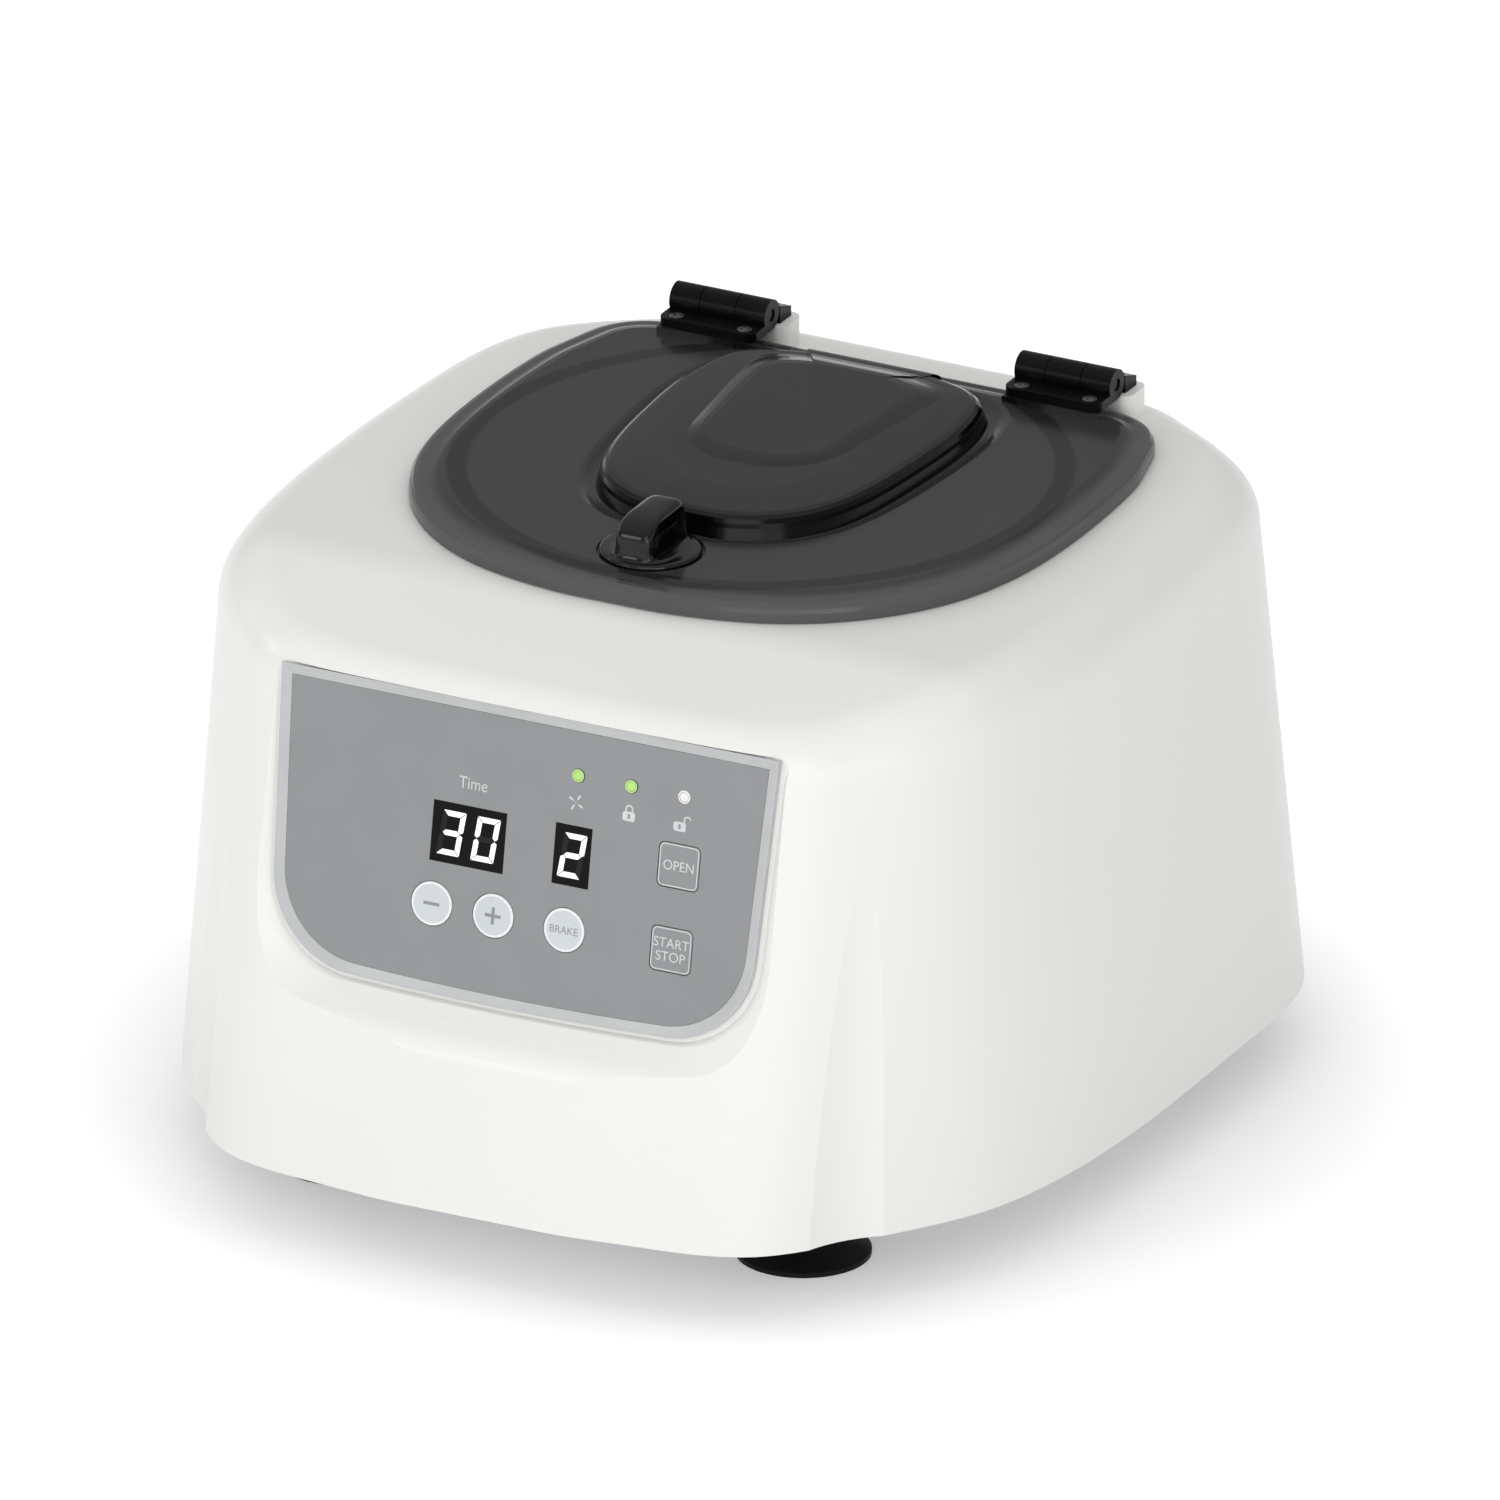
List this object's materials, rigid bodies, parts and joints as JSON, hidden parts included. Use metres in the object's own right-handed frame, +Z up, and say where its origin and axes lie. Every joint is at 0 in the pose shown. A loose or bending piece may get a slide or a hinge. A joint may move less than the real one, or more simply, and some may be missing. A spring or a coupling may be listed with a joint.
{
  "type": "tube centrifuge",
  "caption": "Small bench centrifuge with a moulded housing, hinged smoked lid with a turn latch, fixed-angle tube rotor, motor and keypad.",
  "frame": {"origin": "on the bench, under the middle of the housing", "axes": "+Z up, front panel towards -Y, +X to the right as seen from the front"},
  "size_m": [0.304, 0.331, 0.2147],
  "materials": {
    "housing_plastic": "gloss",
    "lid_plastic": "smoked, gloss",
    "knob_plastic": "gloss",
    "hinge_plastic": "satin",
    "gasket_rubber": "matt",
    "foot_rubber": "matt",
    "damper_rubber": "matt",
    "bezel_plastic": "satin",
    "panel_film": "satin",
    "window_plastic": "tinted, gloss",
    "key_plastic": "satin",
    "key_grey": "satin",
    "lamp_green": "lit lens",
    "lamp_white": "lens",
    "board": "solder mask",
    "display": "gloss",
    "nylon": "moulded nylon",
    "black_plastic": "moulded",
    "screw_steel": "zinc plated",
    "shaft_steel": "ground",
    "bowl_steel": "brushed stainless",
    "plate_steel": "zinc plated sheet",
    "rotor_aluminium": "anodised",
    "sleeve_plastic": "polypropylene",
    "motor_aluminium": "cast",
    "stator_steel": "lamination with windings",
    "pin_brass": "plated"
  },
  "bodies": {
    "housing": {"upper_housing": "housing_plastic", "chamber_collar": "housing_plastic", "rear_plate": "housing_plastic", "base_plate": "plate_steel", "feet": "foot_rubber", "foot_nuts": "screw_steel", "base_screws": "screw_steel", "panel_bezel": "bezel_plastic", "panel_overlay": "panel_film", "time_window": "window_plastic", "brake_window": "window_plastic", "lamp_run": "lamp_green", "lamp_locked": "lamp_green", "lamp_unlocked": "lamp_white", "control_board": "board", "board_spacers": "nylon", "board_screws": "screw_steel", "displays": "display", "key_switches": "black_plastic", "striker_plate": "plate_steel", "lock_solenoid": "stator_steel", "lock_bracket": "plate_steel", "lid_switch": "black_plastic", "hinge_body_leaves": "hinge_plastic", "hinge_pins": "shaft_steel", "hinge_body_screws": "screw_steel", "chamber_bowl": "bowl_steel", "bowl_screws": "screw_steel", "motor_flange": "plate_steel", "motor_dampers": "damper_rubber", "motor_can": "motor_aluminium", "motor_end_cap": "motor_aluminium", "motor_bearings": "shaft_steel", "motor_stator": "stator_steel", "power_board": "board", "power_inlet": "black_plastic", "inlet_pins": "pin_brass", "power_switch_frame": "black_plastic", "fuse_holder": "black_plastic"},
    "lid": {"lid_shell": "lid_plastic", "chamber_gasket": "gasket_rubber", "hinge_lid_leaves": "hinge_plastic", "hinge_lid_screws": "screw_steel"},
    "knob": {"latch_knob": "knob_plastic", "latch_shaft": "shaft_steel", "latch_tongue": "shaft_steel", "latch_screw": "screw_steel"},
    "lock_bolt": {"lock_bolt": "shaft_steel"},
    "rotor": {"rotor_head": "rotor_aluminium", "rotor_sleeves": "sleeve_plastic", "rotor_nut": "rotor_aluminium", "motor_shaft": "shaft_steel", "motor_armature": "shaft_steel"},
    "rocker": {"power_rocker": "black_plastic"},
    "minus_key": {"key_minus": "key_plastic"},
    "plus_key": {"key_plus": "key_plastic"},
    "brake_key": {"key_brake": "key_plastic"},
    "open_key": {"key_open": "key_grey"},
    "start_stop_key": {"key_start_stop": "key_grey"}
  },
  "joints": [
    {"name": "lid_hinge", "type": "hinge", "parent": "housing", "child": "lid", "pos_m": [0, 0.1235, 0.207], "axis": [-1, 0, 0], "range_deg": [0, 85]},
    {"name": "knob_turn", "type": "hinge", "parent": "lid", "child": "knob", "pos_m": [0, -0.0431, 0.1995], "axis": [0, 0, -1], "range_deg": [0, 90]},
    {"name": "bolt_slide", "type": "slide", "parent": "housing", "child": "lock_bolt", "axis": [-1, 0, 0], "range_m": [0, 0.012], "stiffness_N_per_m": 60, "springref_m": -0.01},
    {"name": "rotor_spin", "type": "hinge", "parent": "housing", "child": "rotor", "pos_m": [0, 0.0315, 0.13], "axis": [0, 0, 1], "continuous": true},
    {"name": "rocker_tilt", "type": "hinge", "parent": "housing", "child": "rocker", "pos_m": [-0.014, 0.1555, 0.058], "axis": [0, 0, -1], "range_deg": [0, 18]},
    {"name": "minus_press", "type": "slide", "parent": "housing", "child": "minus_key", "axis": [0, 0.9851, -0.1719], "range_m": [0, 0.0004], "stiffness_N_per_m": 600, "springref_m": -0.001},
    {"name": "plus_press", "type": "slide", "parent": "housing", "child": "plus_key", "axis": [0, 0.9851, -0.1719], "range_m": [0, 0.0004], "stiffness_N_per_m": 600, "springref_m": -0.001},
    {"name": "brake_press", "type": "slide", "parent": "housing", "child": "brake_key", "axis": [0, 0.9851, -0.1719], "range_m": [0, 0.0004], "stiffness_N_per_m": 600, "springref_m": -0.001},
    {"name": "open_press", "type": "slide", "parent": "housing", "child": "open_key", "axis": [0, 0.9851, -0.1719], "range_m": [0, 0.0004], "stiffness_N_per_m": 600, "springref_m": -0.001},
    {"name": "start_stop_press", "type": "slide", "parent": "housing", "child": "start_stop_key", "axis": [0, 0.9851, -0.1719], "range_m": [0, 0.0004], "stiffness_N_per_m": 600, "springref_m": -0.001}
  ]
}
